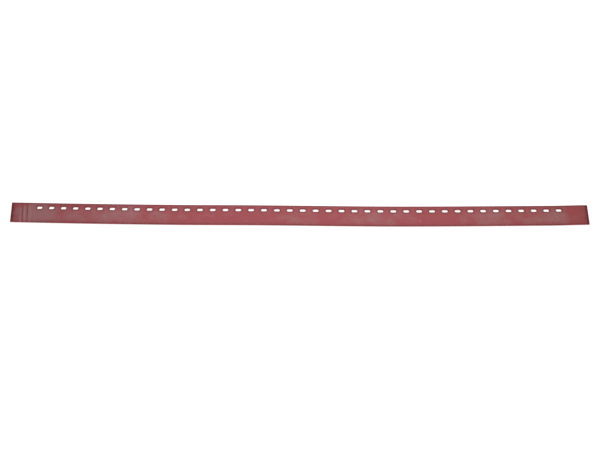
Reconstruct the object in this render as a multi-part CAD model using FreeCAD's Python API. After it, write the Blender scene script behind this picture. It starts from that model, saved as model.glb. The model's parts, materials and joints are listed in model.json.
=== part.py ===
import FreeCAD, Part
import os

os.makedirs("parts", exist_ok=True)

# Slotted squeegee blade for a floor scrubber-dryer, in millimetres. It lies flat: X runs along
# the blade, Y across it towards the slotted edge, and Z up through its thickness. The origin is
# the middle of the face that it rests on.
blade_length = 1143.0
blade_width = 40.0
blade_thickness = 4.0

# One row of round-ended slots for the pegs of the squeegee holder
slot_count = 42
slot_pitch = 25.0
slot_length = 11.5  # end to end, along the blade
slot_width = 5.5
slot_row_inset = 9.5  # from the slotted edge to the middle of the row

cut_margin = 1.0  # how far each punch runs past both faces


def blade_blank():
    """The plain strip, cut square from a sheet."""
    corner = FreeCAD.Vector(-blade_length / 2, -blade_width / 2, 0)
    return Part.makeBox(blade_length, blade_width, blade_thickness, corner)


def slot_punch(centre_x, centre_y):
    """A round-ended bar that punches one slot through the strip."""
    radius = slot_width / 2
    straight = slot_length - slot_width
    low, high = -cut_margin, blade_thickness + cut_margin
    left, right = centre_x - straight / 2, centre_x + straight / 2
    near, far = centre_y - radius, centre_y + radius
    at = FreeCAD.Vector
    outline = Part.Wire([
        Part.makeLine(at(left, near, low), at(right, near, low)),
        Part.Arc(at(right, near, low), at(right + radius, centre_y, low), at(right, far, low)).toShape(),
        Part.makeLine(at(right, far, low), at(left, far, low)),
        Part.Arc(at(left, far, low), at(left - radius, centre_y, low), at(left, near, low)).toShape(),
    ])
    return Part.Face(outline).extrude(at(0, 0, high - low))


def slot_row():
    """Every punch of the row, evenly spaced and centred on the blade's length."""
    first_x = -slot_pitch * (slot_count - 1) / 2
    row_y = blade_width / 2 - slot_row_inset
    return [slot_punch(first_x + slot_pitch * number, row_y) for number in range(slot_count)]


squeegee_blade = blade_blank().cut(slot_row())
squeegee_blade.exportStep("parts/squeegee_blade.step")
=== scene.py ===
import json
import math

import bpy
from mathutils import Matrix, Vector, noise


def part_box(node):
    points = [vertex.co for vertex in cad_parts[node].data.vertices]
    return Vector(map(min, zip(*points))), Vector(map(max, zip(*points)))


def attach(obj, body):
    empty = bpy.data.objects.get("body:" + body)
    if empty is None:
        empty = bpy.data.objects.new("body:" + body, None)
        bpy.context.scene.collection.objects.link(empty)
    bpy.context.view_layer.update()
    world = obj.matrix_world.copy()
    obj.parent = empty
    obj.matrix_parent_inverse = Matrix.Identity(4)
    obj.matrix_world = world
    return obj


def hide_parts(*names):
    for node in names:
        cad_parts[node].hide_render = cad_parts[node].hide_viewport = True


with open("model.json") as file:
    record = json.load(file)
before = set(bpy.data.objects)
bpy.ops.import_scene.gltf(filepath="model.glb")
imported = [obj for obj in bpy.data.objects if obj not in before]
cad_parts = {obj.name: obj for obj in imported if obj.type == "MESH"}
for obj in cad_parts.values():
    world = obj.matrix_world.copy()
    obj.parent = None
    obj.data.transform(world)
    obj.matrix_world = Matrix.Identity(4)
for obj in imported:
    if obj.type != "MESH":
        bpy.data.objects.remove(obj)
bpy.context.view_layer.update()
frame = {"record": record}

metre = 1000.0  # millimetres in a metre: the blade is worked out in mm and stored in metres
mounts = {mount["name"]: mount for mount in frame["record"]["mounts"]}
low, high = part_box("squeegee_blade")

blade = {
    "length": (high.x - low.x) * metre,
    "width": (high.y - low.y) * metre,
    "thickness": (high.z - low.z) * metre,
    "pitch": mounts["slots_centre"]["dims"]["spacing_x_mm"],
    "slotSpan": mounts["slots_outer"]["dims"]["spacing_x_mm"],  # first slot to last
    "slotLength": mounts["slots_outer"]["dims"]["slot_length_mm"],
    "slotRadius": mounts["slots_outer"]["dims"]["hole_r_mm"],
    "slotRow": mounts["slots_outer"]["pos_m"][1] * metre,
    "arris": 0.3,  # the cut edges are sharp, worn round by this much
    "hollow": 0.12,  # rubber bulges under the knife, so a cut face comes out slightly hollow
    "faceHalf": 6.0,  # half the height of the band of faces that holds each slot
    "ringSteps": (0.8, 1.5, 2.2),  # rows of faces around a slot, from its wall
    "edgeSteps": (0.7, 1.4, 2.4),  # rows of faces beside a long edge
    "endSteps": (0.7, 1.3, 2.2, 3.4, 5.0, 6.6),  # columns of faces beside an end
    "arrisSteps": 3,  # faces around a worn arris
    "hollowSteps": 4,  # faces down a cut, between its two arrises
    "archSteps": 8,  # faces around a slot's round end
    "spanSteps": 3,  # faces along a slot's straight side
    "rowGap": 2.3,  # the plain face's usual spacing
    "endGap": 1.1,  # closer columns where the left end is creased
    "slack": 0.01,  # places nearer than this are the same
}

rubberFace = {
    "red": "#773438",  # iron-oxide red gum rubber
    "bloom": "#774D4F",  # the same under a film of bloom
    "bareAndEdgeShade": "#481217",  # painted shade beside every cut edge, and bloom rubbed off there
    "bloomAlong": (  # mm from the middle, and how much bloom lies there
        (-571.5, 0.0), (-555.0, 0.65), (-520.0, 1.25), (-450.0, 0.55), (-330.0, 0.8), (-285.0, 0.25),
        (-240.0, 0.35), (-180.0, 0.1), (-140.0, 0.05), (-85.0, -0.1), (-20.0, 0.38), (60.0, 0.08),
        (140.0, 0.62), (290.0, -0.12), (380.0, 0.75), (420.0, 0.33), (520.0, 0.68), (538.0, 0.08),
        (571.5, -0.1)),
    "bloomLine": -3.0,  # it is thickest along this line, mm across
    "bloomFade": 0.22,  # and this much is gone
    "bloomFadeMm": 12.0,  # this far to either side
    "patchMm": 16.0,  # it also lies in patches about this long
    "patchSwing": 0.6,
    "patchTurn": 0.6,  # radians that they slant by
    "patchStretch": 0.6,  # below 1 they are longer than they are wide
    "mottleMm": 4.0,
    "mottleSwing": 0.06,
    "grainMm": 0.7,  # print of the calender roll; the real 0.2 mm is too fine to show
    "rim": ((0.0, 1.0), (0.13, 0.88), (0.25, 0.22), (0.5, 0.07), (1.0, 0.0)),  # how dark (painted edge shade and bare rubber), from the cut
    "rimMm": 8.0,  # where the darker rim has gone altogether
    "rimRagged": 2.0,  # mm that the mottle moves it in and out by
    "endShadeScale": 0.3,  # distances from an end count this much less, so the darker rim reaches further in: painted light falloff
    "pale": ("#855D5F", 0.75),  # stretched rubber on top of a fold, and how strongly it shows
    "furrowShade": ("#561D20", 0.9),  # painted shade in its furrow, with cracked bloom, and how strongly it shows
    "foldMm": 0.24,  # a fold this high, or this deep, has its full colour
    "foldFrom": 0.1,  # the share of that height where its colour starts
    "aged": "#FFFFF7",  # the right end has browned a little
    "agedFrom": 250.0,  # mm from the middle where that starts
    "agedOver": 200.0,  # and the length over which it comes to full strength
    "roughness": 0.62,
    "ior": 1.52,
    "specular": 0.18,  # the film of bloom scatters most of the mirror part
    "reliefMm": 0.12,
    "mottleRelief": 0.4,  # the mottle's share in it, beside the grain's
}

scuffs = {
    "colour": "#A98484",
    "places": (  # mm along and across, degrees turned, half length and half width in mm
        (238.5, -11.0, -52.0, 3.2, 0.5),
        (-73.0, -17.8, 0.0, 1.2, 0.6),
        (408.0, -17.5, 20.0, 1.2, 0.5)),
}

creases = {  # folds across the left end, where the strip was bent round in its packing
    "folds": (  # mm from the end, height (a furrow is below 0), half width, mm across where it is strongest
        (19.5, 0.22, 2.0, -16.0),
        (24.3, -0.27, 1.1, -1.0),
        (28.6, 0.24, 1.8, -6.0),
        (34.3, -0.25, 1.5, 3.0),
        (40.0, 0.16, 3.0, -5.0)),
    "fadeMm": 19.0,  # it fades out over about this much to either side of there
    "lean": -0.12,  # how far a fold leans along the strip for each mm across it
    "wander": 0.8,  # mm that a fold strays from a straight line
    "wanderMm": 9.0,
}

loose = {  # how the strip lies on the table
    "waveHeight": 0.10,
    "waveAlong": 70.0,
    "waveAcross": 35.0,
    "sway": (  # mm from the middle, and mm that the strip lies off its own line there
        (-571.5, -0.1), (-400.0, -0.3), (-260.0, -0.2), (-80.0, 0.7), (200.0, -0.65), (490.0, 0.1),
        (571.5, 1.1)),
    "offSquare": 0.7,  # the ends are cut this far out of square, by hand
    "offSquareMm": 30.0,  # and drawn over this length, so that the slots stay as they are
    "wider": 0.025,  # the left end was slit this share wider than the rest
}

skin = {  # the strip's faces and walls laid out flat in rows, as a map for baked colours
    "rowStarts": (-blade["length"] / 2, -200.0, 200.0),  # mm from the middle; the cuts fall between slots
    "rowLength": 400.0,
    "gap": 1.6,
}


def between(stops, place):
    # the value at a place along the strip, eased between (mm from the middle, value) stops
    for (start, first), (end, last) in zip(stops, stops[1:]):
        if place <= end:
            share = min(max((place - start) / (end - start), 0.0), 1.0)
            return first + (last - first) * share * share * (3 - 2 * share)
    return stops[-1][1]


def creaseAt(x, y):
    # height of the folds at a point of the face, in mm
    total = 0.0
    for fromEnd, height, halfWidth, strongest in creases["folds"]:
        middle = -blade["length"] / 2 + fromEnd + creases["lean"] * y
        middle += creases["wander"] * noise.noise(Vector((y / creases["wanderMm"], fromEnd, 0.0)))
        off = math.hypot((x - middle) / halfWidth, (y - strongest) / creases["fadeMm"])
        total += height * math.exp(-off ** 2)
    return total


def laidDown(x, y, z):
    # where a point of the straight strip comes to once the strip lies loose on the table
    place = Vector((x / loose["waveAlong"], y / loose["waveAcross"], 3.0))
    lift = loose["waveHeight"] * (0.5 + 0.5 * noise.noise(place)) + creaseAt(x, y)
    nearEnd = max(0.0, 1.0 + (abs(x) - blade["length"] / 2) / loose["offSquareMm"])
    along = x - loose["offSquare"] * nearEnd ** 2 * y / (blade["width"] / 2)
    wide = 1.0 + loose["wider"] * max(0.0, -x / (blade["length"] / 2))
    return along, y * wide + between(loose["sway"], x), max(z + lift, 0.0)


def slotOutline(centre, away):
    # a slot's outline, moved into the rubber by away, from its top left round clockwise
    radius = blade["slotRadius"] + away
    half = blade["slotLength"] / 2 - blade["slotRadius"]
    arch = blade["archSteps"] // 2
    points = []
    for side, start in ((-1, 135.0), (1, 90.0)):
        for step in range(arch):
            angle = math.radians(start - 45.0 * step / arch)
            points.append((centre + side * half + radius * math.cos(angle), radius * math.sin(angle)))
        if side < 0:
            for step in range(blade["spanSteps"]):
                points.append((centre - half + 2 * half * step / blade["spanSteps"], radius))
    for step in range(blade["archSteps"]):
        angle = math.radians(45.0 - 90.0 * step / blade["archSteps"])
        points.append((centre + half + radius * math.cos(angle), radius * math.sin(angle)))
    turned = [(2 * centre - x, -y) for x, y in points]  # the other half is this one turned round
    return [(x, blade["slotRow"] + y) for x, y in points + turned]


def cellOutline(centre):
    # the rectangle around a slot, with as many points as the slot's outline has
    halfX, halfY = blade["pitch"] / 2, blade["faceHalf"]
    across, down = blade["archSteps"] + blade["spanSteps"], blade["archSteps"]
    points = [(centre - halfX + 2 * halfX * step / across, halfY) for step in range(across)]
    points += [(centre + halfX, halfY - 2 * halfY * step / down) for step in range(down)]
    turned = [(2 * centre - x, -y) for x, y in points]
    return [(x, blade["slotRow"] + y) for x, y in points + turned]


def spread(start, end, gap):
    # evenly spaced values from start to end, both included, about gap apart
    count = max(1, round(abs(end - start) / gap))
    return [start + (end - start) * step / count for step in range(count + 1)]


def cutDistance(x, y):
    # mm from the nearest cut edge, seen from above
    # the ends count nearer, which spreads the painted shade further in from them
    fromEnd = rubberFace["endShadeScale"] * (blade["length"] / 2 - abs(x))
    distance = min(fromEnd, blade["width"] / 2 - abs(y))
    number = round((x + blade["slotSpan"] / 2) / blade["pitch"])
    number = min(max(number, 0), round(blade["slotSpan"] / blade["pitch"]))
    half = blade["slotLength"] / 2 - blade["slotRadius"]
    alongX = max(abs(x + blade["slotSpan"] / 2 - number * blade["pitch"]) - half, 0.0)
    return min(distance, math.hypot(alongX, y - blade["slotRow"]) - blade["slotRadius"])


def bloomAt(x, y):
    # share of the face that the film of bloom covers
    offLine = (y - rubberFace["bloomLine"]) / rubberFace["bloomFadeMm"]
    return between(rubberFace["bloomAlong"], x) - rubberFace["bloomFade"] * offLine ** 2


class Sheet:
    # gathers the vertices and faces of both faces of the strip and of the cut walls between them
    def __init__(self):
        self.points, self.cuts, self.creases, self.bloom = [], [], [], []
        self.faces, self.kinds, self.found = [], [], {}
        self.flat = []  # every face's corners in the layout, in mm
        self.wallAlong, self.wallUp = 0.0, 2 * len(skin["rowStarts"]) * (blade["width"] + skin["gap"])

    def point(self, x, y, z, cut):
        key = (round(x, 3), round(y, 3), round(z, 3))
        if key not in self.found:
            self.found[key] = len(self.points)
            self.points.append([value / metre for value in laidDown(x, y, z)])
            self.creases.append(creaseAt(x, y))
            self.bloom.append(bloomAt(x, y))
            self.cuts.append(cut)
        return self.found[key]

    def patch(self, corners):
        # one quad of the upper face and its twin below, from corners given anticlockwise
        middle = (corners[0][0] + corners[2][0]) / 2
        row = max(number for number, start in enumerate(skin["rowStarts"]) if start < middle)
        rowStart = skin["rowStarts"][row]
        for z, order in ((blade["thickness"], 1), (0.0, -1)):
            ids = [self.point(x, y, z, cutDistance(x, y)) for x, y in corners]
            up = row * (blade["width"] + skin["gap"]) + blade["width"] / 2
            flat = [(x - rowStart, up + order * y) for x, y in corners]
            self.faces.append(ids[::order])
            self.flat += flat[::order]
            self.kinds.append(0)
            row += len(skin["rowStarts"])

    def wall(self, outlineAt):
        # columns of quads down a cut; outlineAt gives its closed outline, seen clockwise, for an inset
        profile = wallProfile()
        outlines = [outlineAt(inset) for z, inset in profile]
        depths = [0.0]
        for (z, inset), (zNext, insetNext) in zip(profile, profile[1:]):
            depths.append(depths[-1] + math.hypot(z - zNext, inset - insetNext))
        for here in range(len(outlines[0])):
            after = (here + 1) % len(outlines[0])
            length = math.dist(outlines[0][here], outlines[0][after])
            if self.wallAlong + length > skin["rowLength"]:
                self.wallAlong, self.wallUp = 0.0, self.wallUp + depths[-1] + skin["gap"]
            start, end = self.wallAlong, self.wallAlong + length
            for down in range(len(profile) - 1):
                corners = []
                for step, place in ((down, here), (down, after), (down + 1, after), (down + 1, here)):
                    z = profile[step][0]
                    atFace = step in (0, len(profile) - 1)
                    corners.append(self.point(*outlines[step][place], z, blade["arris"] if atFace else 0.0))
                    self.flat.append((start if place == here else end, self.wallUp - depths[step]))
                self.faces.append(corners)
                self.kinds.append(1)
            self.wallAlong = end
        self.wallAlong += skin["gap"]


def wallProfile():
    # (z, how far in from the cut) down a cut face: worn arris, hollow face, worn arris
    arris, thickness = blade["arris"], blade["thickness"]
    turns = [math.radians(90.0 * step / blade["arrisSteps"]) for step in range(blade["arrisSteps"] + 1)]
    corner = [(arris * (1 - math.cos(angle)), arris * (1 - math.sin(angle))) for angle in turns]
    upper = [(thickness - drop, inset) for drop, inset in corner]
    lower = [(drop, inset) for drop, inset in reversed(corner)]
    middle = []
    for step in range(1, blade["hollowSteps"]):
        share = step / blade["hollowSteps"]
        z = thickness - arris - share * (thickness - 2 * arris)
        middle.append((z, blade["hollow"] * math.sin(math.pi * share)))
    return upper + middle + lower


def buildBlade():
    sheet = Sheet()
    endX, edgeY = blade["length"] / 2 - blade["arris"], blade["width"] / 2 - blade["arris"]
    firstSlot = -blade["slotSpan"] / 2
    slotCount = round(blade["slotSpan"] / blade["pitch"]) + 1
    centres = [firstSlot + number * blade["pitch"] for number in range(slotCount)]
    bandLow, bandHigh = blade["slotRow"] - blade["faceHalf"], blade["slotRow"] + blade["faceHalf"]
    cellEdge = firstSlot - blade["pitch"] / 2

    # columns, left to right, and rows, bottom to top
    nearEnd = [blade["length"] / 2 - step for step in blade["endSteps"]]
    leftEnd = [-endX] + [-x for x in nearEnd]
    creased = spread(leftEnd[-1], cellEdge, blade["endGap"])
    cells = spread(cellEdge, -cellEdge, blade["pitch"] / (blade["archSteps"] + blade["spanSteps"]))
    plainRight = spread(-cellEdge, nearEnd[-1], blade["rowGap"])
    columns = leftEnd + creased[1:] + cells[1:] + plainRight[1:] + nearEnd[-2::-1] + [endX]
    nearEdge = [blade["width"] / 2 - step for step in blade["edgeSteps"]]
    under = [-edgeY] + [-y for y in nearEdge] + spread(-nearEdge[-1], bandLow, blade["rowGap"])[1:]
    over = [bandHigh] + [y for y in reversed(nearEdge) if y > bandHigh] + [edgeY]
    band = spread(bandLow, bandHigh, 2 * blade["faceHalf"] / blade["archSteps"])
    rows = under + band[1:] + over[1:]

    slack = blade["slack"]
    for left, right in zip(columns, columns[1:]):
        slotted = cellEdge - slack < left and right < -cellEdge + slack
        for bottom, top in zip(rows, rows[1:]):
            inBand = bandLow - slack < bottom and top < bandHigh + slack
            if not (slotted and inBand):
                sheet.patch([(left, bottom), (right, bottom), (right, top), (left, top)])

    for centre in centres:
        rings = [slotOutline(centre, away) for away in (blade["arris"], *blade["ringSteps"])]
        rings.append(cellOutline(centre))
        for inner, outer in zip(rings, rings[1:]):
            for here in range(len(inner)):
                after = (here + 1) % len(inner)
                sheet.patch([inner[here], inner[after], outer[after], outer[here]])
        sheet.wall(lambda inset: slotOutline(centre, inset)[::-1])

    def rim(inset):
        # the strip's outline, moved in by inset, seen anticlockwise from its bottom left
        x, y = blade["length"] / 2 - inset, blade["width"] / 2 - inset
        inX, inY = columns[1:-1], rows[1:-1]
        points = [(-x, -y)] + [(column, -y) for column in inX]
        points += [(x, -y)] + [(x, row) for row in inY]
        points += [(x, y)] + [(column, y) for column in reversed(inX)]
        return points + [(-x, y)] + [(-x, row) for row in reversed(inY)]

    sheet.wall(lambda inset: rim(inset)[::-1])

    mesh = bpy.data.meshes.new("bladeMesh")
    mesh.from_pydata(sheet.points, [], sheet.faces)
    mesh.polygons.foreach_set("material_index", sheet.kinds)
    mesh.polygons.foreach_set("use_smooth", [True] * len(sheet.faces))
    # for the materials: mm to the nearest cut edge, height of the folds in mm, share of bloom
    for name, values in (("fromCut", sheet.cuts), ("crease", sheet.creases), ("bloom", sheet.bloom)):
        mesh.attributes.new(name, "FLOAT", "POINT").data.foreach_set("value", values)
    wide = skin["rowLength"] + 2 * skin["gap"]
    tall = max(up for along, up in sheet.flat) + 2 * skin["gap"]
    places = [((along + skin["gap"]) / wide, (up + skin["gap"]) / tall) for along, up in sheet.flat]
    layout = mesh.uv_layers.new(name="OFBake")  # the laid-out faces as a map
    layout.data.foreach_set("uv", [value for place in places for value in place])
    mesh.validate()
    piece = bpy.data.objects.new("bladeRubber", mesh)
    bpy.context.scene.collection.objects.link(piece)
    return piece


rubberBlade = buildBlade()
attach(rubberBlade, "root")
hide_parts("squeegee_blade")
print("blade built:", len(rubberBlade.data.polygons), "faces")


def linear(hexColour):
    # an sRGB hex colour as the linear values that Blender's sockets take
    channels = [int(hexColour[place:place + 2], 16) / 255 for place in (1, 3, 5)]
    return (*[c / 12.92 if c <= 0.04045 else ((c + 0.055) / 1.055) ** 2.4 for c in channels], 1.0)


def perMetre(size):
    return metre / size  # a pattern's scale from the size of its features in mm


def addNode(tree, kind, links=None, **settings):
    # one node with its settings; links is {input: a socket to link, or a value to set}
    node = tree.nodes.new(kind)
    for name, value in settings.items():
        setattr(node, name, value)
    for name, value in (links or {}).items():
        if isinstance(value, bpy.types.NodeSocket):
            tree.links.new(value, node.inputs[name])
        else:
            node.inputs[name].default_value = value
    return node


def newMaterial(name):
    material = bpy.data.materials.new(name)
    material.use_nodes = True
    tree = material.node_tree
    tree.nodes.clear()
    return material, tree


def calenderedNaturalRubber():
    # Sheet rolled between steel rolls: an even, matt, slightly chalky red. Sulphur and wax bloom to
    # its face and grey it in soft patches; beside the cut edges it is darker, rubbed off and painted with
    # shade.
    look = rubberFace
    material, tree = newMaterial("calenderedNaturalRubber")
    place = addNode(tree, "ShaderNodeTexCoord").outputs["Object"]
    slanted = addNode(tree, "ShaderNodeMapping", {
        "Vector": place, "Rotation": (0.0, 0.0, look["patchTurn"]),
        "Scale": (look["patchStretch"], 1.0, 1.0)})
    patches = addNode(tree, "ShaderNodeTexNoise", {
        "Vector": slanted.outputs[0], "Scale": perMetre(look["patchMm"]), "Detail": 5.0, "Roughness": 0.68})
    mottle = addNode(tree, "ShaderNodeTexNoise", {
        "Vector": place, "Scale": perMetre(look["mottleMm"]), "Detail": 3.0, "Roughness": 0.6})
    grain = addNode(tree, "ShaderNodeTexNoise", {
        "Vector": place, "Scale": perMetre(look["grainMm"]), "Detail": 2.0, "Roughness": 0.5})

    # the film of bloom, in its patches
    bloomHere = addNode(tree, "ShaderNodeAttribute", attribute_name="bloom")
    swing = addNode(tree, "ShaderNodeMapRange", {
        "Value": patches.outputs["Fac"], "From Min": 0.25, "From Max": 0.75,
        "To Min": -look["patchSwing"], "To Max": look["patchSwing"]})
    film = addNode(tree, "ShaderNodeMath", {
        0: bloomHere.outputs["Fac"], 1: swing.outputs[0]}, operation="ADD", use_clamp=True)
    bloomed = addNode(tree, "ShaderNodeMix", {
        "Factor": film.outputs[0], "A": linear(look["red"]), "B": linear(look["bloom"])}, data_type="RGBA")
    mottleTone = addNode(tree, "ShaderNodeMapRange", {
        "Value": mottle.outputs["Fac"], "From Min": 0.3, "From Max": 0.7,
        "To Min": 1.0 - look["mottleSwing"], "To Max": 1.0 + look["mottleSwing"]})
    mottled = addNode(tree, "ShaderNodeMix", {
        "Factor": 1.0, "A": bloomed.outputs["Result"], "B": mottleTone.outputs[0]},
        data_type="RGBA", blend_type="MULTIPLY")

    # the darker rim beside every cut edge: painted shade of the edges, and bloom rubbed off there
    fromCut = addNode(tree, "ShaderNodeAttribute", attribute_name="fromCut")
    ragged = addNode(tree, "ShaderNodeMath", {0: mottle.outputs["Fac"], 1: -0.5}, operation="ADD")
    unevenCut = addNode(tree, "ShaderNodeMath", {
        0: ragged.outputs[0], 1: look["rimRagged"], 2: fromCut.outputs["Fac"]}, operation="MULTIPLY_ADD")
    rimPlace = addNode(tree, "ShaderNodeMapRange", {
        "Value": unevenCut.outputs[0], "From Max": look["rimMm"]})
    rim = addNode(tree, "ShaderNodeValToRGB", {"Fac": rimPlace.outputs[0]})
    stops = rim.color_ramp.elements
    for number, (position, shadeAndBareness) in enumerate(look["rim"]):
        stop = stops[number] if number < 2 else stops.new(position)
        stop.position, stop.color = position, (shadeAndBareness, shadeAndBareness, shadeAndBareness, 1.0)
    rimmed = addNode(tree, "ShaderNodeMix", {
        "Factor": rim.outputs["Color"], "A": mottled.outputs["Result"], "B": linear(look["bareAndEdgeShade"])},
        data_type="RGBA")

    # the folds: pale stretched rubber on top, painted shade and cracked bloom in the furrow
    crease = addNode(tree, "ShaderNodeAttribute", attribute_name="crease")
    folded = rimmed
    for (colour, strength), full in ((look["pale"], look["foldMm"]), (look["furrowShade"], -look["foldMm"])):
        share = addNode(tree, "ShaderNodeMapRange", {
            "Value": crease.outputs["Fac"], "From Min": full * look["foldFrom"], "From Max": full,
            "To Max": strength})
        folded = addNode(tree, "ShaderNodeMix", {
            "Factor": share.outputs[0], "A": folded.outputs["Result"], "B": linear(colour)},
            data_type="RGBA")

    # age, and the scuffs on top of everything
    along = addNode(tree, "ShaderNodeSeparateXYZ", {"Vector": place})
    age = addNode(tree, "ShaderNodeMapRange", {
        "Value": along.outputs["X"], "From Min": look["agedFrom"] / metre,
        "From Max": (look["agedFrom"] + look["agedOver"]) / metre})
    worn = addNode(tree, "ShaderNodeMix", {
        "Factor": age.outputs[0], "A": folded.outputs["Result"], "B": linear(look["aged"])},
        data_type="RGBA", blend_type="MULTIPLY")
    for x, y, turned, halfLength, halfWidth in scuffs["places"]:
        local = addNode(tree, "ShaderNodeMapping", {
            "Vector": place, "Location": (x / metre, y / metre, 0.0),
            "Rotation": (0.0, 0.0, math.radians(turned)),
            "Scale": (halfLength / metre, halfWidth / metre, 1.0)}, vector_type="TEXTURE")
        spot = addNode(tree, "ShaderNodeTexGradient", {
            "Vector": local.outputs[0]}, gradient_type="SPHERICAL")
        worn = addNode(tree, "ShaderNodeMix", {
            "Factor": spot.outputs["Fac"], "A": worn.outputs["Result"], "B": linear(scuffs["colour"])},
            data_type="RGBA")

    relief = addNode(tree, "ShaderNodeMath", {
        0: mottle.outputs["Fac"], 1: look["mottleRelief"], 2: grain.outputs["Fac"]},
        operation="MULTIPLY_ADD")
    bump = addNode(tree, "ShaderNodeBump", {
        "Height": relief.outputs[0], "Strength": 0.35, "Distance": look["reliefMm"] / metre})
    shader = addNode(tree, "ShaderNodeBsdfPrincipled", {
        "Base Color": worn.outputs["Result"],
        "Normal": bump.outputs[0],
        "Roughness": look["roughness"],
        "IOR": look["ior"],
        "Specular IOR Level": look["specular"],
    })
    addNode(tree, "ShaderNodeOutputMaterial", {"Surface": shader.outputs[0]})
    return material


rubberCut = {
    # the walls' red is darkened below the face's as painted shade of the walls
    "red": "#88181F",
    "pale": "#9C2C33",
    "strokeMm": 0.8,  # knife lines through the thickness; the real 0.1 mm is too fine to show
    "strokeStretch": 0.08,  # how much slower the lines change along the knife's path than across it
    "roughness": 0.5,
    "ior": 1.52,
    "reliefMm": 0.1,
}


def knifeCutRubberWithPaintedShade():
    # Fresh rubber with no bloom on it: redder than the face and darkened as painted shade of the walls,
    # a little smoother, with the fine lines of the knife and punch running through the thickness.
    look = rubberCut
    material, tree = newMaterial("knifeCutRubberWithPaintedShade")
    place = addNode(tree, "ShaderNodeTexCoord").outputs["Object"]
    drawn = addNode(tree, "ShaderNodeMapping", {"Vector": place, "Scale": (1.0, 1.0, look["strokeStretch"])})
    strokes = addNode(tree, "ShaderNodeTexNoise", {
        "Vector": drawn.outputs[0], "Scale": perMetre(look["strokeMm"]), "Detail": 3.0, "Roughness": 0.6})
    tone = addNode(tree, "ShaderNodeMix", {
        "Factor": strokes.outputs["Fac"], "A": linear(look["red"]), "B": linear(look["pale"])},
        data_type="RGBA")
    bump = addNode(tree, "ShaderNodeBump", {
        "Height": strokes.outputs["Fac"], "Strength": 0.4, "Distance": look["reliefMm"] / metre})
    shader = addNode(tree, "ShaderNodeBsdfPrincipled", {
        "Base Color": tone.outputs["Result"],
        "Normal": bump.outputs[0],
        "Roughness": look["roughness"],
        "IOR": look["ior"],
    })
    addNode(tree, "ShaderNodeOutputMaterial", {"Surface": shader.outputs[0]})
    return material


rubberBlade.data.materials.append(calenderedNaturalRubber())
rubberBlade.data.materials.append(knifeCutRubberWithPaintedShade())
print("rubber materials made")

floor = {"side": 30.0, "colour": "#6B6B6B", "glow": 0.92}  # a white acrylic table, lit from below


def layFloor():
    half = floor["side"] / 2
    mesh = bpy.data.meshes.new("floorMesh")
    corners = [(-half, -half, 0.0), (half, -half, 0.0), (half, half, 0.0), (-half, half, 0.0)]
    mesh.from_pydata(corners, [], [(0, 1, 2, 3)])
    material, tree = newMaterial("frostedWhiteAcrylic")  # frosted, so that nothing mirrors in it
    shader = addNode(tree, "ShaderNodeBsdfPrincipled", {
        "Base Color": linear(floor["colour"]),
        "Roughness": 0.9,
        "Specular IOR Level": 0.0,
        "Emission Color": (1.0, 1.0, 1.0, 1.0),
        "Emission Strength": floor["glow"],
    })
    addNode(tree, "ShaderNodeOutputMaterial", {"Surface": shader.outputs[0]})
    mesh.materials.append(material)
    table = bpy.data.objects.new("lightTable", mesh)
    bpy.context.scene.collection.objects.link(table)


layFloor()

studio = {
    "place": (0.04, 0.2, 0.35),  # one long softbox, close over the slotted edge
    "aim": (0.04, 0.0, 0.0),
    "size": (1.0, 0.3),
    "power": 3.15,  # watts
    "sky": 1.0,  # white walls all round
}


def lightStudio():
    light = bpy.data.lights.new("softbox", "AREA")
    light.shape = "RECTANGLE"
    light.size, light.size_y = studio["size"]
    light.energy = studio["power"]
    softbox = bpy.data.objects.new("softbox", light)
    softbox.location = studio["place"]
    downwards = Vector(studio["aim"]) - Vector(studio["place"])
    softbox.rotation_euler = downwards.to_track_quat("-Z", "Y").to_euler()
    softbox.visible_camera = False
    bpy.context.scene.collection.objects.link(softbox)
    world = bpy.data.worlds.new("whiteStudio")
    world.use_nodes = True
    background = world.node_tree.nodes["Background"]
    background.inputs["Color"].default_value = (1.0, 1.0, 1.0, 1.0)
    background.inputs["Strength"].default_value = studio["sky"]
    bpy.context.scene.world = world
    bpy.context.scene.view_settings.view_transform = "Standard"


lightStudio()

camera = {
    "place": (0.0708, -0.5907, 1.6229),  # 70 degrees above the strip, on its plain edge's side
    "turn": (25.046, 1.864, 1.024),
    "lens": 53.614,
    "barrel": 0.0831,  # a zoom lens at its short end bows straight lines by about this much
    "rise": -0.1936,  # the strip lies below the lens's axis
    "sensor": (36.0, 27.0),
    "widest": 120.0,  # degrees that the lens may take in, more than the frame needs
}


def setCamera():
    data = bpy.data.cameras.new("camera")
    data.type = "PANO"  # the only kind that takes a real lens's bow
    data.panorama_type = "FISHEYE_LENS_POLYNOMIAL"
    data.sensor_width, data.sensor_height = camera["sensor"]
    data.fisheye_fov = math.radians(camera["widest"])
    data.fisheye_polynomial_k0 = 0.0
    data.fisheye_polynomial_k1 = -1.0 / camera["lens"]
    data.fisheye_polynomial_k2 = 0.0
    data.fisheye_polynomial_k3 = camera["barrel"] / camera["lens"] ** 3
    data.fisheye_polynomial_k4 = 0.0
    data.shift_y = camera["rise"]
    data.clip_start, data.clip_end = 0.01, 100.0
    eye = bpy.data.objects.new("camera", data)
    eye.location = camera["place"]
    eye.rotation_euler = [math.radians(angle) for angle in camera["turn"]]
    bpy.context.scene.collection.objects.link(eye)
    bpy.context.scene.camera = eye


setCamera()
print("table, softbox and camera set")
